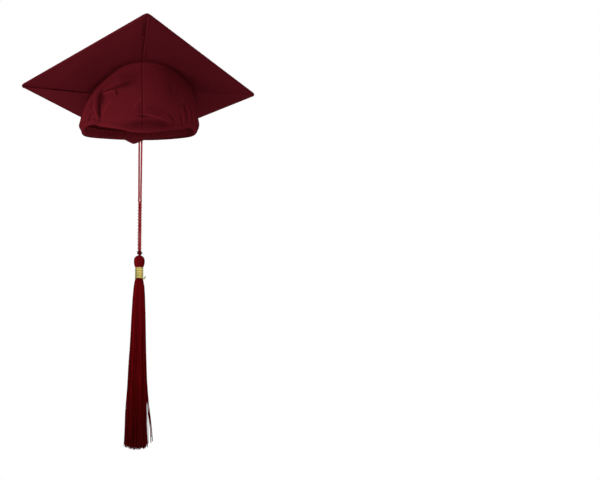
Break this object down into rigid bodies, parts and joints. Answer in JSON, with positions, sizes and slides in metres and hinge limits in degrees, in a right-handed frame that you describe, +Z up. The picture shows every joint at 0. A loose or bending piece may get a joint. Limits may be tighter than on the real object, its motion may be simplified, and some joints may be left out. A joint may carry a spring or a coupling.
{
  "type": "graduation cap",
  "caption": "Graduation cap: a square cloth-covered board on an elasticated skull cap, with a corded tassel hanging from its button.",
  "frame": {"origin": "the middle of the head opening, on the vertical line through the middle of the board", "axes": "+Z up as worn, -Y the way the wearer faces, +X the wearer's left; the board's corners point along X and Y"},
  "size_m": [0.3366, 0.3598, 0.5046],
  "materials": {
    "board_cloth": "plain-woven polyester, matt",
    "skull_cloth": "plain-woven polyester, matt with a slight sheen",
    "lining_cloth": "thin plain-woven lining, matt",
    "interfacing": "stiff non-woven interfacing",
    "elastic": "braided elastic",
    "board_card": "pressed grey-brown card",
    "tinned_steel": "stamped tinned steel",
    "button_cloth": "the board's cloth, stretched over the button",
    "cord_red": "two-ply twisted rayon cord, silky",
    "yarn_red": "rayon yarn, silky",
    "gold_thread": "metallised gold thread"
  },
  "bodies": {
    "cap": {"board_stiffener": "board_card", "board_top_cover": "board_cloth", "underside_panel_front_left": "board_cloth", "underside_panel_front_right": "board_cloth", "underside_panel_back_left": "board_cloth", "underside_panel_back_right": "board_cloth", "skull_panel_left": "skull_cloth", "skull_panel_right": "skull_cloth", "skull_lining_left": "lining_cloth", "skull_lining_right": "lining_cloth", "brow_interfacing": "interfacing", "brow_hem_facing": "skull_cloth", "elastic_casing": "skull_cloth", "elastic_band": "elastic", "crown_lining_disc": "lining_cloth", "button_cover": "button_cloth", "button_shell": "tinned_steel", "button_back_plate": "tinned_steel", "button_rivet": "tinned_steel", "rivet_washer": "tinned_steel"},
    "tassel_loop": {"tassel_loop_cord": "cord_red"},
    "tassel_bend": {"cord_bend_left": "cord_red", "cord_bend_right": "cord_red"},
    "tassel_drop": {"cord_drop_left": "cord_red", "cord_drop_right": "cord_red"},
    "tassel_knot": {"loop_knot": "cord_red"},
    "tassel": {"tassel_head": "yarn_red", "tassel_fringe": "yarn_red", "neck_tie": "yarn_red", "gold_band": "gold_thread", "gold_band_tail": "gold_thread"}
  },
  "joints": [
    {"name": "tassel_turn", "type": "hinge", "parent": "cap", "child": "tassel_loop", "pos_m": [0, 0, 0.0851], "axis": [0, 0, 1], "continuous": true},
    {"name": "tassel_sway", "type": "hinge", "parent": "tassel_loop", "child": "tassel_bend", "pos_m": [0.01221, 0.17457, 0.0851], "axis": [0.0698, 0.9976, 0], "range_deg": [-60, 60]},
    {"name": "tassel_swing", "type": "hinge", "parent": "tassel_bend", "child": "tassel_drop", "pos_m": [0.01221, 0.17457, 0.0781], "axis": [0.9976, -0.0698, 0], "range_deg": [-20, 85]},
    {"name": "knot_tilt", "type": "hinge", "parent": "tassel_drop", "child": "tassel_knot", "pos_m": [0.01221, 0.17457, -0.11165], "axis": [0.9976, -0.0698, 0], "range_deg": [-45, 45]},
    {"name": "tassel_twist", "type": "hinge", "parent": "tassel_knot", "child": "tassel", "pos_m": [0.01221, 0.17457, -0.11165], "axis": [0, 0, 1], "range_deg": [-180, 180]}
  ]
}
